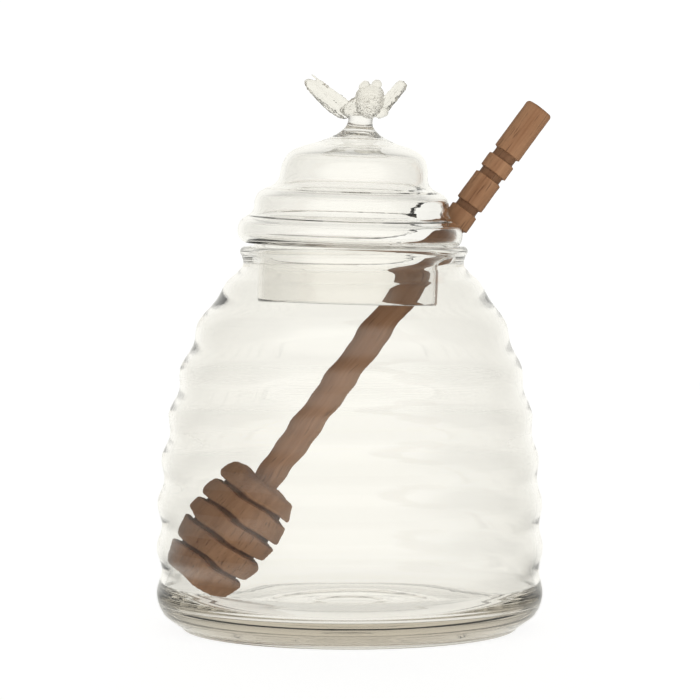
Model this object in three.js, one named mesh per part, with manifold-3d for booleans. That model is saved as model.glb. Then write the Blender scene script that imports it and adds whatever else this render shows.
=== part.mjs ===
// Clear glass beehive honey jar, its notched lid with a bee for a knob, and a turned wooden dipper.
// Millimetres, +Z up. The origin is on the surface that the jar stands on, under the jar's axis.

import * as THREE from "three";
import { mergeVertices } from "three/addons/utils/BufferGeometryUtils.js";
import Module from "manifold-3d";

const wasm = await Module();
wasm.setup();

// Jar wall: straight at the bottom, then drawing in to the neck, with level ribs all the way up
const WALL_RADIUS = 52.2;
const WALL_THICKNESS = 1.7;
const STRAIGHT_TOP = 28;
const DOME_RISE = 75;
const DOME_POWER = 1.685;
const DOME_ROOT = 4;
const RIB_PITCH = 12.3;
const RIB_HEIGHT = 0.6;
const INNER_RIB_SHARE = 0.85;
const FIRST_RIB = 9.9;
const WALL_TOP = 95.4;

// Jar base: a heel over a narrower foot ring, with a shallow hollow under the floor
const FOOT_RADIUS = 46.5;
const FOOT_INNER_RADIUS = 43;
const FOOT_HEIGHT = 3.5;
const FOOT_EDGE = 1;
const HEEL_RADIUS = 4.4;
const PUNT_HEIGHT = 3.2;
const PUNT_RADIUS = 39;
const FLOOR_HEIGHT = 7.5;
const FLOOR_CORNER = 4;

// Jar mouth: a drawn-in neck under a rolled lip
const NECK_RADIUS = 30.1;
const NECK_HEIGHT = 99.7;
const MOUTH_RADIUS = 28.4;
const LIP_HEIGHT = 102.95;
const LIP_BEAD = 1.35;

// The blown jar isn't quite upright: its body stands a little to the left and its mouth a little to the right
const JAR_SHIFT = -0.4;
const JAR_LEAN = 1.2;

// Lid: heights are from the rim's underside, which lies a little off level on the jar's lip
const RIM_HEIGHT = 104.6;
const LID_SHIFT = -0.4;
const LID_TILT = 1.8;
const LID_LEAN = 2;
const LID_WALL = 1.5;
const COLLAR_RADIUS = 24.7;
const COLLAR_DEPTH = 15.2;
const RIM_RADIUS = 30.7;
const TIER_RADIUS = 26.5;
const CROWN_RADIUS = 19.9;
const STEM_RADIUS = 3.4;
const STEM_TOP = 35.2;
const HOLLOW_TOP = 28.9;

// Notch for the dipper: a rough arch in the lid's wall, open below and flaring to the back, as [along, up]
const NOTCH_BEARING = 22;
const NOTCH_ARCH = [
  [-14, -2 * COLLAR_DEPTH], [12, -2 * COLLAR_DEPTH], [12.4, -6.6], [21.4, -6.6], [22.5, -1], [22.3, 0.8],
  [18.5, 3], [15.2, 5.2], [12, 8], [9.6, 11.2], [6.8, 13.4], [3, 14.4], [-3, 14], [-8, 11.4], [-12, 6.4],
  [-13.7, 1.4], [-14, -2.6],
];

// Bee: places are from the middle of the stem's top, [right, back, up]
const BEE_HEIGHT = 34.7;
const BEE_BODY = { radius: 3.7, length: 10, lean: 48, at: [2.1, -0.6, 4] };
const BEE_RINGS = 4;
const BEE_RING_HEIGHT = 0.28;
const BEE_LUMPS = [
  { name: "head", size: [3.9, 3.1, 2.6], at: [2.3, 2, 6.6] },
  { name: "left eye", size: [1.55, 2, 1.55], at: [1, 2.6, 8.7] },
  { name: "right eye", size: [1.55, 2, 1.55], at: [4, 2.6, 9] },
  { name: "left shoulder", size: [3.6, 2.4, 1.5], at: [-2.5, 0.4, 1.9] },
  { name: "right shoulder", size: [2.6, 2.2, 1.5], at: [4.8, 0.4, 1.6] },
];
const WING_THICKNESS = 1.5;
const WINGS = [
  { name: "left", root: [-3, 0.6, 1.2], tip: [-16.6, 1.4, 10.9], width: 5.8, twist: 20 },
  { name: "right", root: [4, 0.6, 0.6], tip: [11.6, 1.4, 10.9], width: 4.4, twist: -26 },
  { name: "hind", root: [-4.6, 2.4, 2], tip: [0.6, 2.8, 6.6], width: 3.4, twist: 28 },
];

// Dipper: a slim turned handle on a barrel head cut into discs
const DIPPER_LENGTH = 160.5;
const HANDLE_RADIUS = 4;
const HANDLE_NECK_RADIUS = 3.6;
const HANDLE_NECK_LENGTH = 4;
const HANDLE_GROOVE_DEPTH = 0.7;
const HANDLE_GROOVES = [[15.2, 17.8], [21.7, 24], [32.6, 34.9], [39.5, 41.8]];
const HANDLE_CHAMFER = 0.9;
const HEAD_LENGTH = 34;
const HEAD_RADIUS = 12.8;
const HEAD_WIDEST = 19.5;
const HEAD_BARREL_BELOW = 27.5;
const HEAD_BARREL_ABOVE = 20.5;
const HEAD_SHOULDER = 1.2;
const HEAD_END_ROUND = 2.5;
const DISC_GROOVES = [7.6, 14.4, 20.8, 27.4];
const DISC_GROOVE_WIDTH = 1.7;
const DISC_GROOVE_DEPTH = 2.6;

// Where the dipper stands: the middle of its lower end, and its axis at the height of the jar's mouth
const DIPPER_FOOT = new THREE.Vector3(-43.3, -1, 12.9);
const DIPPER_AT_MOUTH = new THREE.Vector3(24.1, 5.2, 104.4);

const GLASS_SIDES = 28;
const WOOD_SIDES = 16;

const glass = new THREE.MeshStandardMaterial({
  color: 0xf2f1ea, roughness: 0.04, metalness: 0, transparent: true, opacity: 0.35,
});
const wood = new THREE.MeshStandardMaterial({ color: 0x88634a, roughness: 0.68, metalness: 0 });

const radians = THREE.MathUtils.degToRad;

// A closed solid from a geometry whose triangles meet edge to edge
function solidOf(geometry) {
  const bare = geometry.index ? geometry.toNonIndexed() : geometry.clone();
  bare.deleteAttribute("normal");
  bare.deleteAttribute("uv");
  const merged = mergeVertices(bare, 1e-4);
  const index = merged.index.array;
  const triVerts = [];
  for (let i = 0; i < index.length; i += 3) {
    const [a, b, c] = [index[i], index[i + 1], index[i + 2]];
    if (a !== b && b !== c && c !== a) triVerts.push(a, b, c);
  }
  return new wasm.Manifold(new wasm.Mesh({
    numProp: 3,
    vertProperties: new Float32Array(merged.attributes.position.array),
    triVerts: new Uint32Array(triVerts),
  }));
}

function geometryOf(solid) {
  const mesh = solid.getMesh();
  const geometry = new THREE.BufferGeometry();
  geometry.setAttribute("position", new THREE.BufferAttribute(new Float32Array(mesh.vertProperties), 3));
  geometry.setIndex(new THREE.BufferAttribute(new Uint32Array(mesh.triVerts), 1));
  geometry.computeVertexNormals();
  return geometry;
}

// A turned shape round the Z axis, from [radius, height] points that run up the outside
function turned(profile, sides) {
  const points = profile.map(([radius, height]) => new THREE.Vector2(radius, height));
  return new THREE.LatheGeometry(points, sides).rotateX(Math.PI / 2);
}

function arc([radius, height], bend, fromAngle, toAngle, steps) {
  return Array.from({ length: steps + 1 }, (_, i) => {
    const angle = radians(fromAngle + (toAngle - fromAngle) * i / steps);
    return [radius + bend * Math.cos(angle), height + bend * Math.sin(angle)];
  });
}

function smoothCurve(points, steps) {
  const curve = new THREE.SplineCurve(points.map(([radius, height]) => new THREE.Vector2(radius, height)));
  return curve.getSpacedPoints(steps).map((point) => [point.x, point.y]);
}

// The same profile moved in by a wall's thickness, along its own normal
function inset(profile, thickness) {
  return profile.map(([radius, height], i) => {
    const before = profile[Math.max(i - 1, 0)];
    const after = profile[Math.min(i + 1, profile.length - 1)];
    const [run, rise] = [after[0] - before[0], after[1] - before[1]];
    const length = Math.hypot(run, rise);
    return [radius - thickness * rise / length, height + thickness * run / length];
  });
}

function wallRadius(height, ribHeight) {
  const drawn = Math.max(height - STRAIGHT_TOP, 0) / DOME_RISE;
  const smooth = WALL_RADIUS * (1 - drawn ** DOME_POWER) ** (1 / DOME_ROOT);
  return smooth + ribHeight * Math.cos(2 * Math.PI * (height - FIRST_RIB) / RIB_PITCH);
}

function ribbedWall(from, to, ribHeight) {
  const steps = Math.round((to - from) / RIB_PITCH * 4);
  return Array.from({ length: steps + 1 }, (_, i) => {
    const height = from + (to - from) * i / steps;
    return [wallRadius(height, ribHeight), height];
  });
}

function jarGeometry() {
  const heelTop = FOOT_HEIGHT + HEEL_RADIUS;
  const heelMiddle = wallRadius(heelTop, RIB_HEIGHT) - HEEL_RADIUS;
  const underside = [
    [0, PUNT_HEIGHT],
    [PUNT_RADIUS, PUNT_HEIGHT],
    ...arc([FOOT_INNER_RADIUS + FOOT_EDGE, FOOT_EDGE], FOOT_EDGE, 180, 270, 2),
    ...arc([FOOT_RADIUS - FOOT_EDGE, FOOT_EDGE], FOOT_EDGE, 270, 360, 2),
    [FOOT_RADIUS, FOOT_HEIGHT],
    ...arc([heelMiddle, heelTop], HEEL_RADIUS, 275, 350, 4),
  ];
  const outside = ribbedWall(FIRST_RIB, WALL_TOP, RIB_HEIGHT);
  const lip = arc([NECK_RADIUS - 0.4, LIP_HEIGHT], LIP_BEAD, -45, 180, 6);
  const neck = smoothCurve([outside.at(-1), [NECK_RADIUS + 0.9, NECK_HEIGHT - 1.7],
    [NECK_RADIUS, NECK_HEIGHT], lip[0]], 5).slice(1, -1);
  const innerFrom = FLOOR_HEIGHT + FLOOR_CORNER;
  const inside = inset(ribbedWall(innerFrom, WALL_TOP, RIB_HEIGHT * INNER_RIB_SHARE), WALL_THICKNESS);
  const innerWall = inside.filter(([, height]) => height > innerFrom + 0.5).reverse();
  const cornerMiddle = wallRadius(innerFrom, 0) - WALL_THICKNESS - FLOOR_CORNER;
  return turned([
    ...underside,
    ...outside,
    ...neck,
    ...lip,
    [MOUTH_RADIUS, NECK_HEIGHT + 0.4],
    [MOUTH_RADIUS + 0.5, NECK_HEIGHT - 2.2],
    ...innerWall,
    ...arc([cornerMiddle, innerFrom], FLOOR_CORNER, 0, -90, 4),
    [0, FLOOR_HEIGHT],
  ], GLASS_SIDES);
}

// The lid's outside, from the collar's foot up over the stepped tiers to the stem
function lidOutline() {
  return smoothCurve([
    [COLLAR_RADIUS, LID_WALL / 2 - COLLAR_DEPTH],
    [COLLAR_RADIUS, -COLLAR_DEPTH / 2],
    [COLLAR_RADIUS, -2.4],
    [COLLAR_RADIUS + 1.5, -0.5],
    [RIM_RADIUS - 2, 0],
    [RIM_RADIUS - 0.4, 1.5],
    [RIM_RADIUS, 3.6],
    [RIM_RADIUS - 0.6, 5.8],
    [TIER_RADIUS + 2.1, 7.2],
    [TIER_RADIUS + 0.8, 8],
    [TIER_RADIUS, 9.6],
    [TIER_RADIUS, 11.4],
    [TIER_RADIUS - 0.6, 13.3],
    [TIER_RADIUS - 2.2, 14.7],
    [CROWN_RADIUS + 2.2, 15.7],
    [CROWN_RADIUS + 0.9, 16.9],
    [CROWN_RADIUS + 0.3, 18.5],
    [CROWN_RADIUS, 21.2],
    [CROWN_RADIUS - 0.9, 23.6],
    [CROWN_RADIUS - 2.5, 25.4],
    [CROWN_RADIUS - 5.4, 26.8],
    [10, 28.2],
    [6.4, 29.9],
    [STEM_RADIUS + 0.8, 31.7],
    [STEM_RADIUS, 33.4],
    [STEM_RADIUS + 0.1, STEM_TOP],
  ], 36);
}

function lidShell() {
  const outside = lidOutline();
  const inside = inset(outside, LID_WALL).filter(([, height]) => height < HOLLOW_TOP);
  const foot = arc([COLLAR_RADIUS - LID_WALL / 2, LID_WALL / 2 - COLLAR_DEPTH], LID_WALL / 2, 180, 360, 3);
  return turned([
    [0, HOLLOW_TOP],
    ...inside.slice(1).reverse(),
    ...foot,
    ...outside.slice(1),
    [0, STEM_TOP + 0.5],
  ], GLASS_SIDES);
}

// The notch's arch, pushed out through one side of the lid's wall
function notchCutter() {
  const arch = new THREE.Shape(NOTCH_ARCH.map(([along, up]) => new THREE.Vector2(along, up)));
  const cutter = new THREE.ExtrudeGeometry(arch, { depth: 2 * RIM_RADIUS, bevelEnabled: false });
  return cutter
    .rotateX(Math.PI / 2)
    .rotateZ(Math.PI / 2)
    .translate(CROWN_RADIUS / 4, 0, 0)
    .rotateZ(radians(NOTCH_BEARING));
}

function ellipsoid([across, deep, tall], [x, y, z]) {
  return new THREE.SphereGeometry(1, 10, 6).scale(across, deep, tall).translate(x, y, z);
}

// The bee's body: an egg with rings round it, leaning back with its ringed end low in front
function beeBody() {
  const steps = 4 * BEE_RINGS;
  const profile = Array.from({ length: steps + 1 }, (_, i) => {
    const along = -Math.cos(Math.PI * i / steps);
    const egg = BEE_BODY.radius * Math.sqrt(1 - along ** 2);
    const ring = BEE_RING_HEIGHT * Math.cos(2 * Math.PI * BEE_RINGS * along) * (1 - along ** 2);
    return [egg + ring, BEE_BODY.length / 2 * along];
  });
  return turned(profile, 12).rotateX(-radians(BEE_BODY.lean)).translate(...BEE_BODY.at);
}

// A wing: a flat paddle from its root to its tip, turned a little about its own length
function wingGeometry({ root, tip, width, twist }) {
  const [from, to] = [new THREE.Vector3(...root), new THREE.Vector3(...tip)];
  const span = new THREE.Vector3().subVectors(to, from);
  const middle = new THREE.Vector3().addVectors(from, to).multiplyScalar(0.5);
  const paddle = new THREE.SphereGeometry(1, 10, 8);
  paddle.scale(width / 2, WING_THICKNESS / 2, span.length() / 2);
  paddle.rotateZ(radians(twist));
  paddle.applyQuaternion(new THREE.Quaternion().setFromUnitVectors(
    new THREE.Vector3(0, 0, 1), span.normalize()));
  return paddle.translate(...middle);
}

function beeGeometries() {
  return [
    beeBody(),
    ...BEE_LUMPS.map(({ size, at }) => ellipsoid(size, at)),
    ...WINGS.map(wingGeometry),
  ];
}

// Moves every point sideways by an amount that goes with its height
function leaning(geometry, sideways) {
  const place = geometry.attributes.position;
  for (let i = 0; i < place.count; i += 1) {
    place.setX(i, place.getX(i) + sideways(place.getZ(i)));
  }
  return geometry;
}

// The lid leans to the right as it rises, more and more towards the stem
function lidGeometry() {
  let lid = solidOf(lidShell()).subtract(solidOf(notchCutter()));
  for (const piece of beeGeometries()) {
    lid = lid.add(solidOf(piece.translate(0, 0, BEE_HEIGHT)));
  }
  return leaning(geometryOf(lid), (height) => LID_LEAN * (Math.max(height, 0) / STEM_TOP) ** 2);
}

function headRadius(along) {
  const barrel = along < HEAD_WIDEST ? HEAD_BARREL_BELOW : HEAD_BARREL_ABOVE;
  return HEAD_RADIUS * Math.sqrt(1 - ((along - HEAD_WIDEST) / barrel) ** 2);
}

// The head's discs, from its lower end over the cuts between them to its shoulder
function headProfile() {
  const shoulder = HEAD_LENGTH - HEAD_SHOULDER;
  const profile = [
    [0, 0],
    ...arc([headRadius(HEAD_END_ROUND) - HEAD_END_ROUND, HEAD_END_ROUND], HEAD_END_ROUND, 270, 360, 3),
  ];
  for (const groove of DISC_GROOVES) {
    const [from, to] = [groove - DISC_GROOVE_WIDTH / 2, groove + DISC_GROOVE_WIDTH / 2];
    const bottom = headRadius(groove) - DISC_GROOVE_DEPTH;
    profile.push([headRadius(from), from], [bottom, from], [bottom, to], [headRadius(to), to]);
  }
  profile.push([headRadius(shoulder - 2), shoulder - 2], [headRadius(shoulder), shoulder]);
  return profile;
}

function handleProfile() {
  const profile = [
    [HANDLE_NECK_RADIUS, HEAD_LENGTH],
    [HANDLE_NECK_RADIUS, HEAD_LENGTH + HANDLE_NECK_LENGTH / 2],
    [HANDLE_RADIUS, HEAD_LENGTH + 2 * HANDLE_NECK_LENGTH],
  ];
  const slope = HANDLE_GROOVE_DEPTH / 2;
  for (const [from, to] of [...HANDLE_GROOVES].reverse()) {
    profile.push([HANDLE_RADIUS, DIPPER_LENGTH - to]);
    profile.push([HANDLE_RADIUS - HANDLE_GROOVE_DEPTH, DIPPER_LENGTH - to + slope]);
    profile.push([HANDLE_RADIUS - HANDLE_GROOVE_DEPTH, DIPPER_LENGTH - from - slope]);
    profile.push([HANDLE_RADIUS, DIPPER_LENGTH - from]);
  }
  profile.push([HANDLE_RADIUS, DIPPER_LENGTH - HANDLE_CHAMFER]);
  profile.push([HANDLE_RADIUS - HANDLE_CHAMFER, DIPPER_LENGTH], [0, DIPPER_LENGTH]);
  return profile;
}

function dipperGeometry() {
  return turned([...headProfile(), ...handleProfile()], WOOD_SIDES);
}

const jarSideways = (height) => JAR_SHIFT + JAR_LEAN * (height / LIP_HEIGHT) ** 3;
const jar = new THREE.Mesh(leaning(geometryOf(solidOf(jarGeometry())), jarSideways), glass);
jar.name = "jar";

const lid = new THREE.Mesh(lidGeometry(), glass.clone());
lid.name = "lid";
lid.position.set(LID_SHIFT, 0, RIM_HEIGHT);
lid.rotation.y = radians(LID_TILT);

const dipper = new THREE.Mesh(geometryOf(solidOf(dipperGeometry())), wood);
dipper.name = "dipper";
dipper.position.copy(DIPPER_FOOT);
dipper.quaternion.setFromUnitVectors(
  new THREE.Vector3(0, 0, 1),
  new THREE.Vector3().subVectors(DIPPER_AT_MOUTH, DIPPER_FOOT).normalize(),
);

const honeyJar = new THREE.Group();
honeyJar.add(jar, lid, dipper);

export default honeyJar;
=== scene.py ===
"""Clear glass beehive honey jar, its lid with a glass bee, and its wooden dipper, made over the frame."""

from math import cos, exp, hypot, pi, radians, sin, sqrt

import bpy
from bpy.props import FloatProperty, FloatVectorProperty, PointerProperty
from mathutils import Matrix, Vector


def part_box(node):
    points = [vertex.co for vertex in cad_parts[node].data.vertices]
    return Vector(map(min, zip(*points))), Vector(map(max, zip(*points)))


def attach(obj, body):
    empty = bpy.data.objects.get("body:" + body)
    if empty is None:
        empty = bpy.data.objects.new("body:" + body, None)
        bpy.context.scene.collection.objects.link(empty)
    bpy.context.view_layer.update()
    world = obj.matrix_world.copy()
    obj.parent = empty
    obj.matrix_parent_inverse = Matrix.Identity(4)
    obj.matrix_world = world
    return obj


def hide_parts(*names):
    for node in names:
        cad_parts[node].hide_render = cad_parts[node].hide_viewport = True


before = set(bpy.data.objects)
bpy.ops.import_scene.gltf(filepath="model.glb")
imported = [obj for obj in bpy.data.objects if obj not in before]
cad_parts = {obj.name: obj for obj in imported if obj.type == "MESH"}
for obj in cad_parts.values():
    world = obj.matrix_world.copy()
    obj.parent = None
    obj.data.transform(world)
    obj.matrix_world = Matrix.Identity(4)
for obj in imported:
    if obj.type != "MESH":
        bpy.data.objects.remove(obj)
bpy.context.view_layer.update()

bl_info = {
    "name": "Honey Jar",
    "version": (1, 0, 0),
    "blender": (4, 5, 0),
    "location": "3D View > Sidebar > Honey Jar",
    "description": "Models a glass honey jar, its lid and its wooden dipper",
    "category": "Add Mesh",
}

MM = 0.001
FULL_TURN = 2 * pi


# Settings

def length(name, description, default):
    return FloatProperty(name=name, description=description, default=default, unit="LENGTH", precision=5)


def angle(name, description, degrees):
    return FloatProperty(name=name, description=description, default=radians(degrees), subtype="ANGLE")


def plain(name, description, default):
    return FloatProperty(name=name, description=description, default=default)


def place(name, description, default):
    return FloatVectorProperty(name=name, description=description, default=default, subtype="TRANSLATION")


def linear(level):
    """A display level from 0 to 255 as light."""
    share = level / 255
    return share / 12.92 if share <= 0.04045 else ((share + 0.055) / 1.055) ** 2.4


def colour(name, description, *levels):
    light = [linear(level) for level in levels]
    return FloatVectorProperty(
        name=name, description=description, default=light, subtype="COLOR", min=0, max=1)


class JarSizes(bpy.types.PropertyGroup):
    """Sizes of the glass jar"""

    rib_height: length("Rib height", "How far a rib stands out from the smooth wall", 0.6 * MM)
    rib_lopsided: length("Lopsided ribs", "How much deeper the ribs are on the left", 0.1 * MM)
    rib_pitch: length("Rib pitch", "Height from one rib to the next", 12.3 * MM)
    first_rib: length("First rib", "Height of the lowest rib", 9.9 * MM)
    inner_ribs: plain("Inner ribs", "Share of the ribs' height that the inside follows", 1)
    inner_drop: length("Inner drop", "How much lower the ribs lie inside than outside", 0.12 * MM)
    wall_radius: length("Wall radius", "Radius of the straight wall between crest and trough", 52.2 * MM)
    wall_thickness: length("Wall", "Thickness of the wall", 1.7 * MM)
    straight_top: length("Straight top", "Height where the wall starts to draw in", 28 * MM)
    dome_rise: length("Dome rise", "Height over which the wall would close", 75 * MM)
    dome_power: plain("Dome power", "How late the wall draws in", 1.685)
    wall_top: length("Wall top", "Height where the ribs give way to the neck", 95.4 * MM)
    foot_radius: length("Foot radius", "Outer radius of the foot ring", 46 * MM)
    foot_inner_radius: length("Foot inner radius", "Inner radius of the foot ring", 42.8 * MM)
    foot_edge: length("Foot edge", "Rounding of the foot ring", 0.7 * MM)
    heel_top: length("Heel top", "Height where the sloping heel gives way to the ribs", 8.8 * MM)
    punt_height: length("Punt height", "Height of the hollow under the floor", 3.2 * MM)
    punt_radius: length("Punt radius", "Radius of the hollow's flat", 39 * MM)
    floor_height: length("Floor height", "Height of the floor inside", 7.5 * MM)
    floor_corner: length("Floor corner", "Rounding between floor and wall inside", 4 * MM)
    floor_ring: length("Floor rings", "Height of the pressed rings in the floor", 0.22 * MM)
    neck_radius: length("Neck radius", "Radius of the neck", 30.1 * MM)
    neck_height: length("Neck height", "Height of the narrowest neck", 99.7 * MM)
    mouth_radius: length("Mouth radius", "Radius of the opening", 28.4 * MM)
    lip_bead: length("Lip bead", "Radius of the rolled lip", 1.35 * MM)
    lip_top: length("Lip top", "Height of the rolled lip's top", 104.3 * MM)
    shift: length("Shift", "How far the body stands off the axis", -0.4 * MM)
    lean: length("Lean", "How far the mouth leans to the right of the body", 1.2 * MM)


class LidSizes(bpy.types.PropertyGroup):
    """Sizes of the glass lid, with heights from its rim's underside"""

    rim_height: length("Rim height", "Height of the rim's underside over the floor", 104.6 * MM)
    shift: length("Shift", "How far the lid sits off the jar's axis", -0.4 * MM)
    tilt: angle("Tilt", "How far the lid sits off level", 1.8)
    lean: length("Lean", "How far the stem leans to the right", 2 * MM)
    wall: length("Wall", "Thickness of the lid's wall", 1.5 * MM)
    collar_radius: length("Collar radius", "Radius of the collar inside the mouth", 24.7 * MM)
    collar_depth: length("Collar depth", "Depth of the collar", 15.2 * MM)
    rim_radius: length("Rim radius", "Radius of the widest tier", 30.7 * MM)
    tier_radius: length("Tier radius", "Radius of the middle tier", 26.5 * MM)
    crown_radius: length("Crown radius", "Radius of the top tier", 19.9 * MM)
    stem_radius: length("Stem radius", "Radius of the bee's stem", 3.4 * MM)
    stem_top: length("Stem top", "Height of the stem's top", 35.2 * MM)
    hollow_top: length("Hollow top", "Height of the hollow inside", 30.4 * MM)
    notch_bearing: angle("Notch bearing", "How far the notch is turned to the back", 22)
    notch_rough: length("Notch roughness", "How far the notch's cut edge wanders", 1.3 * MM)
    bee_height: length("Bee height", "Height that the bee's places are measured from", 34.7 * MM)
    bee_grain: length("Bee grain", "Cell size that the bee's lumps are melted together with", 0.17 * MM)
    bee_rough: length("Bee roughness", "How far the bee's pressed surface wanders", 0.5 * MM)


class DipperSizes(bpy.types.PropertyGroup):
    """Sizes and place of the wooden dipper, with lengths from its lower end"""

    full_length: length("Length", "Length from end to end", 160.5 * MM)
    handle_radius: length("Handle radius", "Radius of the handle", 4 * MM)
    handle_neck: length("Handle neck", "Radius of the handle where it meets the head", 3.6 * MM)
    groove_depth: length("Groove depth", "Depth of the grooves near the handle's end", 0.75 * MM)
    end_round: length("End rounding", "Rounding of the handle's end", 0.9 * MM)
    head_length: length("Head length", "Length of the disced head", 34 * MM)
    head_radius: length("Head radius", "Radius of the widest disc", 12.8 * MM)
    head_widest: length("Widest", "Where the head is widest", 19.5 * MM)
    barrel_below: length("Barrel below", "Half length of the barrel curve under the widest place", 27.5 * MM)
    barrel_above: length("Barrel above", "Half length of the barrel curve over the widest place", 20.5 * MM)
    shoulder: length("Shoulder", "Length of the head's sloping shoulder", 1.2 * MM)
    head_end: length("Head end", "Rounding of the head's lower end", 2.5 * MM)
    disc_gap: length("Disc gap", "Width of the cut between two discs", 1.2 * MM)
    disc_depth: length("Disc depth", "Depth of the cut between two discs", 2.5 * MM)
    disc_round: length("Disc rounding", "Rounding of the discs' edges", 0.8 * MM)
    wander: length("Wander", "How far the worn wood wanders from a true turning", 0.2 * MM)
    foot: place("Foot", "Middle of the dipper's lower end", (-43.3 * MM, -1 * MM, 12.9 * MM))
    at_mouth: place("At the mouth", "Where its axis leaves the jar", (24.1 * MM, 5.2 * MM, 104.4 * MM))


class Finishes(bpy.types.PropertyGroup):
    """Colours of the glass, the wood and the stage"""

    glass_clear: colour("Clear glass", "Tint of the glass", 254, 254, 253)
    glass_warm: colour("Warm glass", "Tint of the glass where it is cloudier", 253, 252, 250)
    glass_pressed: colour("Pressed glass", "Tint of the bee's glass", 243, 241, 235)
    glass_depth: colour("Depth of glass", "What a long way in the glass leaves of light", 236, 233, 227)
    wood_dark: colour("Dark wood", "Colour of the late wood", 152, 108, 77)
    wood_light: colour("Light wood", "Colour of the early wood", 192, 146, 111)
    wood_pore: colour("Wood pores", "Colour of the pores", 66, 42, 27)
    floor: colour("Floor", "Colour of the floor", 160, 160, 159)


class HoneyJarSettings(bpy.types.PropertyGroup):
    """All that the honey jar's operators read"""

    jar: PointerProperty(type=JarSizes)
    lid: PointerProperty(type=LidSizes)
    dipper: PointerProperty(type=DipperSizes)
    finishes: PointerProperty(type=Finishes)


# Shaders

class Value:
    """A socket in a shader that works like a number: an expression on values adds its Math nodes."""

    def __init__(self, shader, socket):
        self.shader = shader
        self.socket = socket

    def sum_of(self, operation, first, second):
        return self.shader.node("ShaderNodeMath", {"operation": operation}, {0: first, 1: second})

    def __add__(self, other):
        return self.sum_of("ADD", self, other)

    def __sub__(self, other):
        return self.sum_of("SUBTRACT", self, other)

    def __rsub__(self, other):
        return self.sum_of("SUBTRACT", other, self)

    def __mul__(self, other):
        return self.sum_of("MULTIPLY", self, other)

    __radd__ = __add__
    __rmul__ = __mul__


class Shader:
    """The nodes of a material or a world."""

    def __init__(self, owner, output):
        owner.use_nodes = True
        self.nodes = owner.node_tree.nodes
        self.links = owner.node_tree.links
        self.nodes.clear()
        self.output = self.nodes.new(output)

    def node(self, kind, settings=None, sockets=None, output=0):
        """Adds a node, sets it up, gives each named socket its value or link, and returns an output."""
        node = self.nodes.new(kind)
        for name, setting in (settings or {}).items():
            if name == "stops":
                self.set_stops(node.color_ramp.elements, setting)
            else:
                setattr(node, name, setting)
        for name, value in (sockets or {}).items():
            self.feed(node.inputs[name], value)
        return Value(self, node.outputs[output])

    def set_stops(self, elements, stops):
        while len(elements) < len(stops):
            elements.new(1)
        for element, (position, grey) in zip(elements, stops):
            element.position = position
            element.color = (grey, grey, grey, 1)

    def feed(self, socket, value):
        if isinstance(value, Value):
            self.links.new(value.socket, socket)
        else:
            socket.default_value = value

    def show(self, **shaders):
        for name, shader in shaders.items():
            self.feed(self.output.inputs[name], shader)

    def noise(self, vector, scale=1, detail=3, roughness=0.5, distortion=0):
        return self.node("ShaderNodeTexNoise", None, {
            "Vector": vector, "Scale": scale, "Detail": detail, "Roughness": roughness,
            "Distortion": distortion})

    def ramp(self, value, *stops):
        return self.node("ShaderNodeValToRGB", {"stops": stops}, {"Fac": value})

    def mix(self, factor, first, second):
        """Mixes two colours."""
        return self.node("ShaderNodeMix", {"data_type": "RGBA"}, {0: factor, 6: first, 7: second}, output=2)

    def eased(self, value, low, high, at_low, at_high):
        """A soft step from one number to another."""
        return self.node("ShaderNodeMapRange", {"interpolation_type": "SMOOTHSTEP"}, {
            "Value": value, "From Min": low, "From Max": high, "To Min": at_low, "To Max": at_high})

    def stretched(self, vector, *scale):
        return self.node("ShaderNodeVectorMath", {"operation": "MULTIPLY"}, {0: vector, 1: scale})


def opaque(light):
    return (*light, 1)


def new_material(name):
    material = bpy.data.materials.new(name)
    return material, Shader(material, "ShaderNodeOutputMaterial")


def clear_glass(name, finishes, pressed_from):
    """Blown clear glass with faint clouds and drawn lines, warm where deep and duller where pressed."""
    material, shader = new_material(name)
    at = shader.node("ShaderNodeTexCoord", output="Object")
    clouds = shader.noise(at, scale=45, detail=4)
    drawn = shader.noise(shader.stretched(at, 18, 18, 210), detail=2)
    blown = shader.mix(clouds, opaque(finishes.glass_clear), opaque(finishes.glass_warm))
    up = shader.node("ShaderNodeSeparateXYZ", None, {0: at}, output="Z")
    pressed = shader.eased(up, pressed_from, pressed_from + 1.5 * MM, 0, 1)
    tint = shader.mix(pressed, blown, opaque(finishes.glass_pressed))
    smears = shader.ramp(shader.noise(at, scale=160, detail=5), (0.45, 0.0), (0.8, 0.03))
    relief = shader.node("ShaderNodeBump", None, {
        "Strength": 0.12, "Distance": 0.2 * MM, "Height": drawn + clouds * 0.6})
    surface = shader.node("ShaderNodeBsdfPrincipled", None, {
        "Base Color": tint, "Roughness": smears, "Normal": relief,
        "Transmission Weight": 1, "IOR": 1.47})
    depth = shader.node("ShaderNodeVolumeAbsorption", None, {
        "Color": opaque(finishes.glass_depth), "Density": 40})
    shader.show(Surface=surface, Volume=depth)
    return material


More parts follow.
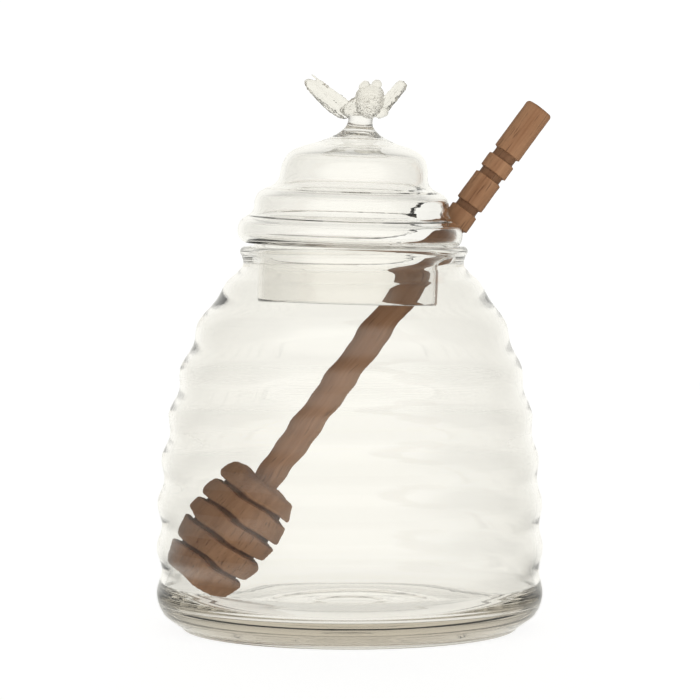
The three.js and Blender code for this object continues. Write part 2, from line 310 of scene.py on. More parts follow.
def turned_wood(name, finishes, sizes):
    """Brown turned wood: layers and fibres along the dipper, dark pores, a darker colour in the grooves and
    in the cuts between the discs, and a dry worn surface.
    """
    material, shader = new_material(name)
    lie = dipper_lie(sizes)
    at = shader.node("ShaderNodeTexCoord", output="Object")
    along = shader.node("ShaderNodeMapping", {"vector_type": "TEXTURE"}, {
        "Vector": at, "Location": lie.to_translation(), "Rotation": lie.to_euler()})
    fibres = shader.noise(shader.stretched(along, 1500, 1500, 55), detail=5, roughness=0.6)
    layers = shader.noise(shader.stretched(along, 330, 90, 9), detail=3, distortion=0.6)
    patches = shader.noise(along, scale=85, detail=3)
    pores = shader.ramp(shader.noise(shader.stretched(along, 2100, 2100, 130), detail=2),
                        (0.3, 1.0), (0.38, 0.0))
    shade = shader.ramp(layers * 0.5 + fibres * 0.3 + patches * 0.2, (0.34, 0.0), (0.66, 1.0))
    body = shader.mix(shade, opaque(finishes.wood_dark), opaque(finishes.wood_light))
    reach = shader.node("ShaderNodeSeparateXYZ", None, {0: along}, output="Z")
    cuts = [(sizes.full_length - far, sizes.full_length - near) for near, far in HANDLE_GROOVES]
    cuts += [(middle - sizes.disc_gap / 2, middle + sizes.disc_gap / 2) for middle in DISC_CUTS]
    # The wood is made darker in the handle's grooves and in the cuts between the head's discs, halfway
    # towards the pores' colour. The colour named worn below is only this darkening.
    darker_in_cuts = 0
    for low, high in cuts:
        rise = shader.eased(reach, low - 0.1 * MM, low + 0.5 * MM, 0, 1)
        darker_in_cuts = rise * shader.eased(reach, high - 0.5 * MM, high + 0.1 * MM, 1, 0) + darker_in_cuts
    worn = shader.mix(darker_in_cuts * 0.5, body, opaque(finishes.wood_pore))
    stained = shader.mix(pores * 0.55, worn, opaque(finishes.wood_pore))
    relief = shader.node("ShaderNodeBump", None, {
        "Strength": 0.45, "Distance": 0.25 * MM, "Height": fibres + layers * 0.4 - pores * 0.5})
    surface = shader.node("ShaderNodeBsdfPrincipled", None, {
        "Base Color": stained, "Roughness": 0.78 - shade * 0.14, "Normal": relief,
        "Specular IOR Level": 0.3})
    shader.show(Surface=surface)
    return material


# Outlines

def arc(middle, bend, start, end, steps):
    """Points on an arc round a middle, from one angle to another in degrees."""
    turns = [radians(start + (end - start) * i / steps) for i in range(steps + 1)]
    return [(middle[0] + bend * cos(turn), middle[1] + bend * sin(turn)) for turn in turns]


def smooth_curve(points, steps):
    """A smooth curve through the points, with the same number of steps from each to the next."""
    ends = [points[0], *points, points[-1]]
    curve = []
    for before, here, there, after in zip(ends, ends[1:], ends[2:], ends[3:]):
        for i in range(steps):
            t = i / steps
            curve.append(tuple(
                (2 * b + (c - a) * t + (2 * a - 5 * b + 4 * c - d) * t ** 2
                 + (3 * b - a - 3 * c + d) * t ** 3) / 2
                for a, b, c, d in zip(before, here, there, after)))
    return [*curve, points[-1]]


def inset(outline, thickness):
    """The same outline moved in by a wall's thickness, along its own normal."""
    moved = []
    for i, (radius, height) in enumerate(outline):
        before = outline[max(i - 1, 0)]
        after = outline[min(i + 1, len(outline) - 1)]
        run, rise = after[0] - before[0], after[1] - before[1]
        step = hypot(run, rise)
        moved.append((radius - thickness * rise / step, height + thickness * run / step))
    return moved


def spaced(outline, longest):
    """The same outline with points added on its long straight runs."""
    points = [outline[0]]
    for (r0, z0), (r1, z1) in zip(outline, outline[1:]):
        steps = max(1, round(hypot(r1 - r0, z1 - z0) / longest))
        points += [(r0 + (r1 - r0) * i / steps, z0 + (z1 - z0) * i / steps) for i in range(1, steps + 1)]
    return points


def eased(value):
    """A soft step from 0 to 1."""
    held = min(max(value, 0), 1)
    return held * held * (3 - 2 * held)


# Modelling by hand

def take(*pieces):
    """Selects these pieces alone, the last of them active."""
    bpy.ops.object.select_all(action="DESELECT")
    for piece in pieces:
        piece.select_set(True)
        bpy.context.view_layer.objects.active = piece


def started(name):
    """Names the primitive that was just added."""
    piece = bpy.context.object
    piece.name = piece.data.name = name
    return piece


def finish_with(piece, kind, **settings):
    """Adds a modifier to a piece, sets it up and applies it."""
    take(piece)
    bpy.ops.object.modifier_add(type=kind)
    modifier = piece.modifiers[-1]
    for name, value in settings.items():
        setattr(modifier, name, value)
    bpy.ops.object.modifier_apply(modifier=modifier.name)


def drawn(name, points):
    """Draws a line by extruding one point along it, and leaves it open in edit mode."""
    bpy.ops.object.select_all(action="DESELECT")
    bpy.ops.mesh.primitive_plane_add(size=MM)
    piece = started(name)
    bpy.ops.object.mode_set(mode="EDIT")
    bpy.ops.mesh.merge(type="CENTER")
    bpy.ops.transform.translate(value=points[0])
    for here, there in zip(points, points[1:]):
        step = [b - a for a, b in zip(here, there)]
        bpy.ops.mesh.extrude_vertices_move(TRANSFORM_OT_translate={"value": step})
    bpy.ops.mesh.select_all(action="SELECT")
    return piece


def turned(name, outline, sides):
    """A turned shape: a half outline spun round the Z axis."""
    piece = drawn(name, [(radius, 0, height) for radius, height in outline])
    bpy.ops.mesh.spin(steps=sides, angle=FULL_TURN, center=(0, 0, 0), axis=(0, 0, 1))
    bpy.ops.mesh.select_all(action="SELECT")
    bpy.ops.mesh.remove_doubles(threshold=0.002 * MM)
    bpy.ops.mesh.normals_make_consistent(inside=False)
    bpy.ops.object.mode_set(mode="OBJECT")
    return piece


def lump(name, size, at):
    """A rounded lump of soft glass, pressed to its size."""
    bpy.ops.object.select_all(action="DESELECT")
    bpy.ops.mesh.primitive_uv_sphere_add(segments=24, ring_count=16, radius=1, location=at)
    piece = started(name)
    bpy.ops.object.mode_set(mode="EDIT")
    bpy.ops.transform.resize(value=size, center_override=at)
    bpy.ops.object.mode_set(mode="OBJECT")
    settle(piece)
    return piece


def settle(piece):
    """Puts a piece's place, turn and size into its mesh."""
    take(piece)
    bpy.ops.object.transform_apply(location=True, rotation=True, scale=True)


def lay(piece, lie):
    """Moves a piece to where it lies."""
    piece.matrix_world = lie
    settle(piece)


def pick_faces(piece, rule):
    """Opens a piece in edit mode with only those faces picked that the rule is true of."""
    take(piece)
    bpy.ops.object.mode_set(mode="EDIT")
    bpy.ops.mesh.select_mode(type="FACE")
    bpy.ops.mesh.select_all(action="DESELECT")
    bpy.ops.object.mode_set(mode="OBJECT")
    for face in piece.data.polygons:
        face.select = rule(face)
    bpy.ops.object.mode_set(mode="EDIT")


def sculpt(piece, rule):
    """Moves every point of a piece to where the rule puts it."""
    for vertex in piece.data.vertices:
        vertex.co = rule(vertex.co)
    piece.data.update()


def joined(name, pieces):
    take(*pieces)
    bpy.ops.object.join()
    return started(name)


def cut_or_fuse(piece, tool, operation):
    finish_with(piece, "BOOLEAN", operation=operation, object=tool, solver="EXACT")
    bpy.data.objects.remove(tool)


def largest_part(name, piece):
    """The largest of a piece's loose parts; specks that melting leaves inside it are deleted."""
    take(piece)
    bpy.ops.object.mode_set(mode="EDIT")
    bpy.ops.mesh.select_all(action="SELECT")
    bpy.ops.mesh.separate(type="LOOSE")
    bpy.ops.object.mode_set(mode="OBJECT")
    *specks, largest = sorted(bpy.context.selected_objects, key=lambda part: len(part.data.vertices))
    for speck in specks:
        bpy.data.objects.remove(speck)
    take(largest)
    return started(name)


def roughen(piece, depth, grain):
    """Lets a surface wander in and out by up to half the depth, over lumps of the grain's size."""
    texture = bpy.data.textures.new(piece.name, "CLOUDS")
    texture.noise_scale = grain
    texture.noise_depth = 2
    finish_with(piece, "DISPLACE", texture=texture, strength=depth, mid_level=0.5, texture_coords="GLOBAL")
    bpy.data.textures.remove(texture)


def smooth_shaded(piece, crease):
    take(piece)
    bpy.ops.object.shade_smooth_by_angle(angle=crease)


def hand_over(piece, node, material):
    """Gives a finished piece its material and its part in the frame, once it is the size of its node."""
    piece.data.materials.clear()
    piece.data.materials.append(material)
    low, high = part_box(node)
    slack = 1 * MM
    for corner in (Vector(corner) for corner in piece.bound_box):
        if any(corner[i] < low[i] - slack or corner[i] > high[i] + slack for i in range(3)):
            raise RuntimeError(f"{piece.name} reaches {tuple(corner)}, outside its node {node}")
    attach(piece, "root")
    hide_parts(node)


# Jar

JAR_SIDES = 160
RIB_STEPS = 18
FLOOR_RINGS = (9.5 * MM, 22 * MM)
HEEL = ((46.5, 1.2), (47.6, 1.7), (49.2, 2.8), (50.8, 4.1), (51.8, 5.7), (52.4, 7.2))


def rib_wave(sizes, height):
    return cos(FULL_TURN * (height - sizes.first_rib) / sizes.rib_pitch)


def wall_radius(sizes, height, rib_height):
    drawn = max(height - sizes.straight_top, 0) / sizes.dome_rise
    smooth = sizes.wall_radius * (1 - drawn ** sizes.dome_power) ** 0.25
    return smooth + rib_height * rib_wave(sizes, height)


def ribbed_wall(sizes, low, high, rib_height):
    steps = round((high - low) / sizes.rib_pitch * RIB_STEPS)
    heights = [low + (high - low) * i / steps for i in range(steps + 1)]
    return [(wall_radius(sizes, height, rib_height), height) for height in heights]


def underside(sizes):
    """From the middle of the hollow under the floor, round the foot ring and up the heel."""
    edge = sizes.foot_edge
    heel_top = (wall_radius(sizes, sizes.heel_top, sizes.rib_height), sizes.heel_top)
    heel = smooth_curve([*((radius * MM, height * MM) for radius, height in HEEL), heel_top], 6)
    hollow = smooth_curve([
        (sizes.punt_radius - 2 * MM, sizes.punt_height),
        (sizes.punt_radius, sizes.punt_height - 0.15 * MM),
        (sizes.foot_inner_radius - 0.6 * MM, edge + 0.6 * MM),
        (sizes.foot_inner_radius, edge),
    ], 6)
    return [
        *spaced([(0, sizes.punt_height), hollow[0]], 2 * MM),
        *hollow[1:],
        *arc((sizes.foot_inner_radius + edge, edge), edge, 180, 270, 6)[1:],
        *arc((sizes.foot_radius - edge, edge), edge, 270, 360, 6),
        *heel[:-1],
    ]


def floor_inside(sizes, reach):
    """Over the floor, from its corner to its middle, with the rings pressed into it."""
    steps = 90
    line = []
    for i in range(1, steps + 1):
        radius = reach * (1 - i / steps)
        rings = sum(exp(-((radius - ring) / (1.3 * MM)) ** 2) for ring in FLOOR_RINGS)
        line.append((radius, sizes.floor_height + sizes.floor_ring * rings))
    return line


def jar_outline(sizes):
    outside = ribbed_wall(sizes, sizes.heel_top, sizes.wall_top, sizes.rib_height)
    lip_middle = (sizes.neck_radius - 0.4 * MM, sizes.lip_top - sizes.lip_bead)
    lip = arc(lip_middle, sizes.lip_bead, -45, 180, 20)
    neck = smooth_curve([outside[-1], (sizes.neck_radius + 0.9 * MM, sizes.neck_height - 1.7 * MM),
                         (sizes.neck_radius, sizes.neck_height), lip[0]], 6)
    corner_top = sizes.floor_height + sizes.floor_corner
    within = inset(ribbed_wall(sizes, corner_top, sizes.wall_top, 0), sizes.wall_thickness)
    ribs = sizes.rib_height * sizes.inner_ribs
    inner_wall = [(radius + ribs * rib_wave(sizes, height + sizes.inner_drop), height)
                  for radius, height in within if height > corner_top + 0.5 * MM]
    throat = smooth_curve([lip[-1], (sizes.mouth_radius, sizes.neck_height + 0.4 * MM),
                           (sizes.mouth_radius + 0.5 * MM, sizes.neck_height - 2.2 * MM), inner_wall[-1]], 6)
    corner_reach = wall_radius(sizes, corner_top, 0) - sizes.wall_thickness - sizes.floor_corner
    return [
        *underside(sizes),
        *outside,
        *neck[1:-1],
        *lip,
        *throat[1:],
        *inner_wall[-2::-1],
        *arc((corner_reach, corner_top), sizes.floor_corner, 0, -90, 12),
        *floor_inside(sizes, corner_reach),
    ]


class HONEYJAR_OT_jar(bpy.types.Operator):
    """Make the ribbed glass jar with its foot, floor and rolled lip"""

    bl_idname = "honeyjar.jar"
    bl_label = "Jar"

    def execute(self, context):
        settings = context.scene.honey_jar
        sizes = settings.jar
        jar = turned("jar_glass", jar_outline(sizes), JAR_SIDES)

        def blown(at):
            """Deepens the troughs on the left, fills them on the right, and leans the whole to the right."""
            radius = hypot(at.x, at.y)
            wall = eased((at.z - 7 * MM) / (6 * MM)) * eased((98 * MM - at.z) / (6 * MM))
            trough = sizes.rib_lopsided * (1 - rib_wave(sizes, at.z)) * wall
            stretch = 1 + trough * at.x / radius ** 2 if radius > sizes.mouth_radius else 1
            sideways = sizes.shift + sizes.lean * (at.z / sizes.lip_top) ** 3
            return Vector((at.x * stretch + sideways, at.y * stretch, at.z))

        sculpt(jar, blown)
        take(jar)
        bpy.ops.object.shade_smooth()
        hand_over(jar, "jar", clear_glass("jar_glass", settings.finishes, sizes.lip_top))
        return {"FINISHED"}


# Lid

LID_SIDES = 120
CEILING_RISE = 3.7 * MM
CEILING_STEPS = 12
WING_STEPS = 4
BODY_ROUNDS = 48
BODY_RINGS = 4
BODY_RING_HEIGHT = 0.26
BODY_RADIUS = 3.7
BODY_REACH = 5
BODY_LEAN = radians(-48)
NOTCH_ARCH = (
    (-14, -30.4), (12, -30.4), (12.4, -6.6), (21.4, -6.6), (22.5, -1), (22.3, 0.8), (18.5, 3), (15.2, 5.2),
    (12, 8), (9.6, 11.2), (6.8, 13.4), (3, 14.4), (-3, 14), (-8, 11.4), (-12, 6.4), (-13.7, 1.4), (-14, -2.6),
)


def lid_outline(sizes):
    """The lid's outside, from the collar's foot up over the stepped tiers to the stem."""
    collar, rim, tier = sizes.collar_radius, sizes.rim_radius, sizes.tier_radius
    crown, stem = sizes.crown_radius, sizes.stem_radius
    tiers = [
        (collar, -2.4), (collar + 1.5 * MM, -0.5), (rim - 2 * MM, 0), (rim - 0.4 * MM, 1.5), (rim, 3.6),
        (rim - 0.6 * MM, 5.8), (tier + 2.1 * MM, 7.2), (tier + 0.8 * MM, 8), (tier, 9.6), (tier, 11.4),
        (tier - 0.6 * MM, 13.3), (tier - 2.2 * MM, 14.7), (crown + 2.2 * MM, 15.7), (crown + 0.9 * MM, 16.9),
        (crown + 0.3 * MM, 18.5), (crown, 21.2), (crown - 0.9 * MM, 23.6), (crown - 2.5 * MM, 25.4),
        (crown - 5.4 * MM, 26.8), (10 * MM, 28.2), (6.4 * MM, 29.9), (stem + 0.8 * MM, 31.7), (stem, 33.4),
    ]
    return smooth_curve([
        (collar, sizes.wall / 2 - sizes.collar_depth),
        (collar, -sizes.collar_depth * 0.75),
        (collar, -sizes.collar_depth / 2),
        *((radius, height * MM) for radius, height in tiers),
        (stem + 0.1 * MM, sizes.stem_top),
    ], 6)


def lid_shell(sizes):
    outside = lid_outline(sizes)
    inside = [point for point in inset(outside, sizes.wall) if point[1] < sizes.hollow_top - CEILING_RISE]
    bend = sizes.wall / 2
    foot = arc((sizes.collar_radius - bend, bend - sizes.collar_depth), bend, 180, 360, 8)
    reach, spring = inside[-1]
    shares = [i / CEILING_STEPS for i in range(CEILING_STEPS + 1)]
    rise = sizes.hollow_top - spring
    ceiling = [(reach * share, sizes.hollow_top - rise * share ** 2) for share in shares]
    stem_end = spaced([outside[-1], (0, sizes.stem_top + 0.5 * MM)], 0.6 * MM)
    return turned("lid_glass", [*ceiling, *inside[-2:0:-1], *foot, *outside[1:], *stem_end[1:]], LID_SIDES)


def notch_cutter(sizes):
    """The notch's arch, pushed out through one side of the lid, with a chipped surface."""
    start = sizes.crown_radius / 4
    cutter = drawn("notch_cutter", [(start, along * MM, up * MM) for along, up in NOTCH_ARCH])
    bpy.ops.mesh.edge_face_add()
    bpy.ops.mesh.extrude_region_move(TRANSFORM_OT_translate={"value": (1.1 * sizes.rim_radius, 0, 0)})
    bpy.ops.mesh.select_all(action="SELECT")
    bpy.ops.mesh.normals_make_consistent(inside=False)
    bpy.ops.object.mode_set(mode="OBJECT")
    finish_with(cutter, "REMESH", mode="VOXEL", voxel_size=0.5 * MM)
    roughen(cutter, sizes.notch_rough, 1.8 * MM)
    lay(cutter, Matrix.Rotation(sizes.notch_bearing, 4, "Z"))
    return cutter


def along_span(root, tip, twist):
    """A place at the root that looks along the way to the tip, turned about that way."""
    way = Vector(tip) - Vector(root)
    turn = Vector((0, 0, 1)).rotation_difference(way.normalized()).to_matrix().to_4x4()
    return Matrix.Translation(root) @ turn @ Matrix.Rotation(twist, 4, "Z"), way.length


def wing(name, root, tip, widths, thickness, twist):
    """A blade drawn out of a small block, wider and narrower as the widths say, with ridges along it."""
    lie, reach = along_span(root, tip, twist)
    step = reach / WING_STEPS
    bpy.ops.object.select_all(action="DESELECT")
    bpy.ops.mesh.primitive_cube_add(size=1)
    blade = started(name)
    blade.scale = (widths[0], thickness, step)
    blade.location = (0, 0, step / 2)
    settle(blade)
    pick_faces(blade, lambda face: face.normal.z > 0.9)
    for i, (width, wider) in enumerate(zip(widths, widths[1:])):
        if i:
            bpy.ops.mesh.extrude_region_move(TRANSFORM_OT_translate={"value": (0, 0, step)})
        bpy.ops.transform.resize(value=(wider / width, 1, 1), center_override=(0, 0, (i + 1) * step))
    bpy.ops.mesh.select_mode(type="VERT")
    bpy.ops.object.mode_set(mode="OBJECT")
    finish_with(blade, "SUBSURF", levels=3, render_levels=3)
    ridges = []
    for i, side in enumerate((-0.28, 0.02, 0.3)):
        at = (side * max(widths), -0.42 * thickness, reach * (0.45 + 0.06 * i))
        ridges.append(lump(f"{name}_ridge", (0.36 * MM, 0.6 * MM, reach * 0.4), at))
    blade = joined(name, [*ridges, blade])
    lay(blade, lie)
    return blade


def bee(sizes):
    """The bee: lumps and blades of glass melted into one another."""
    def mm(*values):
        return Vector(values) * MM

    body = []
    for i in range(BODY_ROUNDS + 1):
        share = -cos(pi * i / BODY_ROUNDS)
        plump = sqrt(max(1 - share ** 2, 0))
        ring = BODY_RING_HEIGHT * cos(FULL_TURN * BODY_RINGS * share) * plump ** 2
        body.append(((BODY_RADIUS * plump + ring) * MM, BODY_REACH * share * MM))
    abdomen = turned("bee_abdomen", body, BODY_ROUNDS)
    lay(abdomen, Matrix.Translation(mm(1.7, -0.6, 4)) @ Matrix.Rotation(BODY_LEAN, 4, "X"))
    pieces = [
        abdomen,
        lump("bee_head", mm(3.9, 3.1, 2.6), mm(1.5, 2, 6.4)),
        lump("bee_left_eye", mm(1.55, 2, 1.55), mm(-0.3, 2.6, 8.6)),
        lump("bee_right_eye", mm(1.55, 2, 1.55), mm(2.8, 2.6, 9)),
        lump("bee_left_shoulder", mm(3.6, 2.4, 1.5), mm(-2.5, 0.4, 1.9)),
        lump("bee_right_shoulder", mm(2.6, 2.2, 1.5), mm(4.8, 0.4, 1.6)),
        wing("bee_left_wing", mm(-2.4, 0.6, 0.4), mm(-17, 1.4, 10),
             (5 * MM, 6.6 * MM, 6 * MM, 4.6 * MM, 2.2 * MM), 1.6 * MM, radians(20)),
        wing("bee_right_wing", mm(3.8, 0.6, 0), mm(10.4, 1.4, 10.4),
             (3.6 * MM, 4.6 * MM, 4.4 * MM, 4.2 * MM, 4.4 * MM), 1.6 * MM, radians(-26)),
        wing("bee_hind_wing", mm(-4.6, 2.4, 2), mm(0.6, 2.8, 6.6),
             (2.4 * MM, 3.6 * MM, 3.6 * MM, 3 * MM, 2 * MM), 1.3 * MM, radians(28)),
    ]
    whole = joined("bee", pieces)
    finish_with(whole, "REMESH", mode="VOXEL", voxel_size=sizes.bee_grain)
    whole = largest_part("bee", whole)
    finish_with(whole, "SMOOTH", factor=0.5, iterations=4)
    roughen(whole, sizes.bee_rough, 0.9 * MM)
    lay(whole, Matrix.Translation((0, 0, sizes.bee_height)))
    return whole


class HONEYJAR_OT_lid(bpy.types.Operator):
    """Make the stepped glass lid with its collar, notch, stem and bee"""

    bl_idname = "honeyjar.lid"
    bl_label = "Lid"

    def execute(self, context):
        settings = context.scene.honey_jar
        sizes = settings.lid
        lid = lid_shell(sizes)
        cut_or_fuse(lid, notch_cutter(sizes), "DIFFERENCE")
        cut_or_fuse(lid, bee(sizes), "UNION")

        def leaning(at):
            rise = max(at.z, 0) / sizes.stem_top
            return Vector((at.x + sizes.lean * rise ** 2, at.y, at.z))

        sculpt(lid, leaning)
        place = Matrix.Translation((sizes.shift, 0, sizes.rim_height))
        lay(lid, place @ Matrix.Rotation(sizes.tilt, 4, "Y"))
        smooth_shaded(lid, radians(38))
        bee_foot = sizes.rim_height + sizes.bee_height
        hand_over(lid, "lid", clear_glass("lid_glass", settings.finishes, bee_foot))
        return {"FINISHED"}


# Dipper

DIPPER_SIDES = 72
DISC_CUTS = (7.6 * MM, 14.4 * MM, 20.8 * MM, 27.4 * MM)
HANDLE_GROOVES = (
    (15.2 * MM, 17.8 * MM), (21.7 * MM, 24 * MM), (32.6 * MM, 34.9 * MM), (39.5 * MM, 41.8 * MM),
)


def dipper_lie(sizes):
    """Where the dipper lies: from its foot, along its axis."""
    return along_span(sizes.foot, sizes.at_mouth, 0)[0]


def head_radius(sizes, along):
    barrel = sizes.barrel_below if along < sizes.head_widest else sizes.barrel_above
    return sizes.head_radius * sqrt(1 - ((along - sizes.head_widest) / barrel) ** 2)


def disc_cut(sizes, middle):
    """The cut between two discs, with both discs' rims rounded."""
    low, high = middle - sizes.disc_gap / 2, middle + sizes.disc_gap / 2
    bottom = head_radius(sizes, middle) - sizes.disc_depth
    bend = sizes.disc_round
    return [
        *arc((head_radius(sizes, low) - bend, low - bend), bend, 0, 90, 4),
        (bottom, low),
        (bottom, high),
        *arc((head_radius(sizes, high) - bend, high + bend), bend, 270, 360, 4),
    ]


def head_outline(sizes):
    """The head's discs, from its lower end over the cuts between them to the hollow round the handle."""
    bend = sizes.head_end
    outline = [(0, 0), *arc((head_radius(sizes, bend) - bend, bend), bend, 270, 360, 8)]
    for middle in DISC_CUTS:
        halfway = (outline[-1][1] + middle) / 2
        outline += [(head_radius(sizes, halfway), halfway), *disc_cut(sizes, middle)]
    shoulder = sizes.head_length - sizes.shoulder
    hollow = sizes.handle_neck + 1.6 * MM
    return [
        *outline,
        (head_radius(sizes, shoulder - 2 * MM), shoulder - 2 * MM),
        (head_radius(sizes, shoulder - 0.5 * MM), shoulder - 0.5 * MM),
        (head_radius(sizes, shoulder) - 0.6 * MM, shoulder + 0.1 * MM),
        (hollow + 0.9 * MM, sizes.head_length - 0.5 * MM),
        (hollow, sizes.head_length - 0.9 * MM),
        (sizes.handle_neck, sizes.head_length - 2.4 * MM),
    ]


def handle_outline(sizes):
    """The handle, from its narrowed foot over its grooves to its rounded end."""
    full, deep = sizes.handle_radius, sizes.handle_radius - sizes.groove_depth
    outline = [
        (sizes.handle_neck, sizes.head_length + 1.5 * MM),
        (sizes.handle_neck + 0.15 * MM, sizes.head_length + 4 * MM),
        (full, sizes.head_length + 8 * MM),
    ]
    slope = 0.35 * MM
    for near, far in reversed(HANDLE_GROOVES):
        bottom, top = sizes.full_length - far, sizes.full_length - near
        outline += [(full, bottom), (deep, bottom + slope), (deep, top - slope), (full, top)]
    bend = sizes.end_round
    return [*outline, *arc((full - bend, sizes.full_length - bend), bend, 0, 90, 5), (0, sizes.full_length)]


class HONEYJAR_OT_dipper(bpy.types.Operator):
    """Make the turned wooden dipper with its grooved handle and its head of discs"""

    bl_idname = "honeyjar.dipper"
    bl_label = "Dipper"

    def execute(self, context):
        settings = context.scene.honey_jar
        sizes = settings.dipper
        outline = spaced([*head_outline(sizes), *handle_outline(sizes)], 0.7 * MM)
        dipper = turned("dipper_wood", outline, DIPPER_SIDES)
        roughen(dipper, sizes.wander, 4 * MM)
        lay(dipper, dipper_lie(sizes))
        smooth_shaded(dipper, radians(32))
        hand_over(dipper, "dipper", turned_wood("dipper_wood", settings.finishes, sizes))
        return {"FINISHED"}


# Stage

CAMERA_DISTANCE = 981 * MM
CAMERA_HEIGHT = 130.5 * MM
CAMERA_PITCH = radians(3.18)
CAMERA_SIDE = -0.3 * MM
IMAGE_SIDE = 700
FOCAL_PIXELS = 3600
FLOOR_REACH = 2
FLOOR_FADE = 1.3
FLOOR_GLOW = 0.86
# Share of the floor's glow that is left in the painted shadow under the jar
PAINTED_SHADE_UNDER_JAR = 0.62
SHADE_EDGE = (26 * MM, 42 * MM)
# Radii over which the floor's painted glow goes from full beside the jar to the room's pattern
GLOW_BESIDE_JAR = (58 * MM, 110 * MM)
BLACK = (0, 0, 0, 1)
WHITE = (1, 1, 1, 1)
IVORY = (0.98, 0.975, 0.93, 1)
CUT_OUT = 1.06
BACKDROP = 1.05
FRONT_LIGHT = 1.2
DIM_ROOM = 0.22
DIM_CEILING = 0.55
BACKDROP_EDGE = (0.35, 0.97)
FRONT_EDGE = (-0.85, -0.25)
CEILING_EDGE = (0.65, 0.95)


def room_light(shader, back):
    """How bright the room is in a direction, from how far back that points."""
    backdrop = shader.eased(back, *BACKDROP_EDGE, DIM_ROOM, BACKDROP)
    return backdrop + shader.eased(back, *FRONT_EDGE, FRONT_LIGHT - DIM_ROOM, 0)


# The floor glows. The camera sees it white, with a painted shadow under the jar. Other rays see painted light
# that follows the room's light by direction.
def make_floor(finishes):
    bpy.ops.object.select_all(action="DESELECT")
    bpy.ops.mesh.primitive_circle_add(
        vertices=96, radius=FLOOR_REACH, fill_type="NGON", location=(0, 0, -0.05 * MM))
    floor = started("floor")
    settle(floor)
    material, shader = new_material("pale_floor")
    at = shader.node("ShaderNodeTexCoord", output="Object")
    reach = shader.node("ShaderNodeVectorMath", {"operation": "LENGTH"}, {0: at}, output="Value")
    fade = shader.eased(reach, FLOOR_FADE * 0.5, FLOOR_FADE, 0, 1)
    # Painted shadow: inside the shade edge, the floor's glow is dimmed beneath the jar
    painted_jar_shadow = shader.eased(reach, *SHADE_EDGE, PAINTED_SHADE_UNDER_JAR, 1)
    back = shader.node("ShaderNodeSeparateXYZ", None, {0: shader.node(
        "ShaderNodeVectorMath", {"operation": "NORMALIZE"}, {0: at})}, output="Y")
    room = room_light(shader, back)
    # Painted light: to rays other than the camera's, each spot of the floor glows as bright as the room's
    # light in its direction from the middle, and fully bright beside the jar
    glow_beside_jar = shader.eased(reach, *GLOW_BESIDE_JAR, 1, 0)
    lit = shader.mix(painted_jar_shadow * (room + glow_beside_jar * (1 - room)), BLACK, IVORY)
    seen = shader.node("ShaderNodeLightPath", output="Is Camera Ray")
    # The camera sees the floor glow white, darkened only by the painted shadow under the jar
    glow = shader.mix(seen, lit, shader.mix(painted_jar_shadow, BLACK, WHITE))
    pale = shader.node("ShaderNodeBsdfPrincipled", None, {
        "Base Color": opaque(finishes.floor), "Roughness": 0.9, "Specular IOR Level": 0.1,
        "Emission Color": glow, "Emission Strength": FLOOR_GLOW})
    clear = shader.node("ShaderNodeBsdfTransparent")
    shader.show(Surface=shader.node("ShaderNodeMixShader", None, {0: fade, 1: pale, 2: clear}))
    floor.data.materials.append(material)


def make_light(scene):
    """An ivory backdrop and a broad front light in a dimmer room, cut out white where it is bare."""
    world = bpy.data.worlds.new("studio")
    shader = Shader(world, "ShaderNodeOutputWorld")
    way = shader.node("ShaderNodeTexCoord", output="Generated")
    back = shader.node("ShaderNodeSeparateXYZ", None, {0: way}, output="Y")
    up = shader.node("ShaderNodeSeparateXYZ", None, {0: way}, output="Z")
    ceiling = shader.eased(up, *CEILING_EDGE, 1, DIM_CEILING)
    room = shader.node("ShaderNodeBackground", None, {
        "Color": IVORY, "Strength": room_light(shader, back) * ceiling})
    bare = shader.node("ShaderNodeBackground", None, {"Color": WHITE, "Strength": CUT_OUT})
    seen = shader.node("ShaderNodeLightPath", output="Is Camera Ray")
    shader.show(Surface=shader.node("ShaderNodeMixShader", None, {0: seen, 1: room, 2: bare}))
    scene.world = world


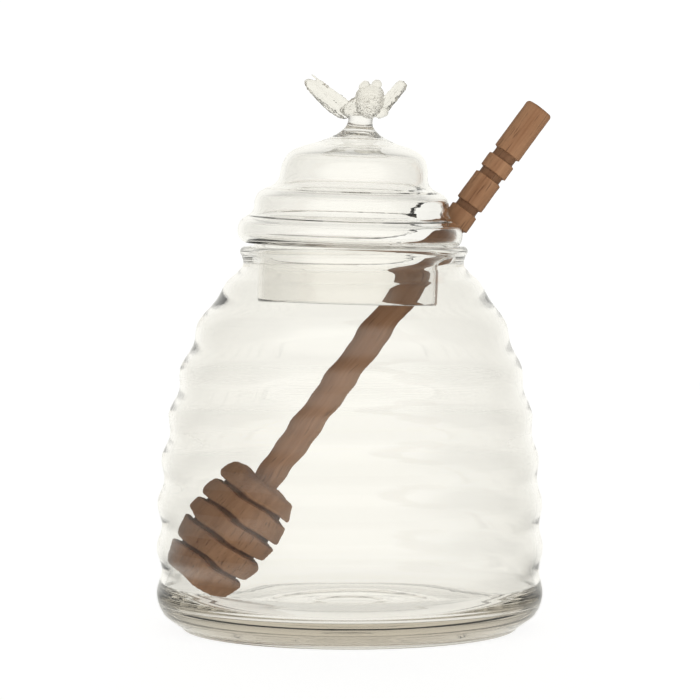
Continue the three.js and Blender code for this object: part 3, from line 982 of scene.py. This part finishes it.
def make_camera(scene):
    bpy.ops.object.camera_add(location=(CAMERA_SIDE, -CAMERA_DISTANCE, CAMERA_HEIGHT),
                              rotation=(pi / 2 - CAMERA_PITCH, 0, 0))
    camera = bpy.context.object
    camera.name = "camera"
    camera.data.sensor_width = 36
    camera.data.lens = camera.data.sensor_width * FOCAL_PIXELS / IMAGE_SIDE
    scene.camera = camera


class HONEYJAR_OT_stage(bpy.types.Operator):
    """Set the pale floor, which glows with a painted shadow under the jar, the soft light and the camera"""

    bl_idname = "honeyjar.stage"
    bl_label = "Stage"

    def execute(self, context):
        scene = context.scene
        make_floor(scene.honey_jar.finishes)
        make_light(scene)
        make_camera(scene)
        scene.view_settings.view_transform = "Standard"
        scene.cycles.max_bounces = 32
        scene.cycles.transmission_bounces = 32
        scene.cycles.glossy_bounces = 16
        return {"FINISHED"}


class HONEYJAR_PT_sidebar(bpy.types.Panel):
    """Lists the honey jar's pieces and their settings"""

    bl_idname = "HONEYJAR_PT_sidebar"
    bl_label = "Honey Jar"
    bl_space_type = "VIEW_3D"
    bl_region_type = "UI"
    bl_category = "Honey Jar"

    def draw(self, context):
        settings = context.scene.honey_jar
        groups = (settings.jar, settings.lid, settings.dipper, settings.finishes)
        for operator, group in zip(OPERATORS, groups):
            box = self.layout.box()
            box.operator(operator.bl_idname)
            for name in group.bl_rna.properties.keys():
                if name not in {"rna_type", "name"}:
                    box.prop(group, name)


OPERATORS = (HONEYJAR_OT_jar, HONEYJAR_OT_lid, HONEYJAR_OT_dipper, HONEYJAR_OT_stage)
CLASSES = (JarSizes, LidSizes, DipperSizes, Finishes, HoneyJarSettings, *OPERATORS, HONEYJAR_PT_sidebar)


def register():
    for item in CLASSES:
        bpy.utils.register_class(item)
    bpy.types.Scene.honey_jar = PointerProperty(type=HoneyJarSettings)


def unregister():
    del bpy.types.Scene.honey_jar
    for item in reversed(CLASSES):
        bpy.utils.unregister_class(item)


def main():
    register()
    bpy.ops.honeyjar.stage()
    bpy.ops.honeyjar.jar()
    bpy.ops.honeyjar.lid()
    bpy.ops.honeyjar.dipper()


if __name__ == "__main__":
    main()
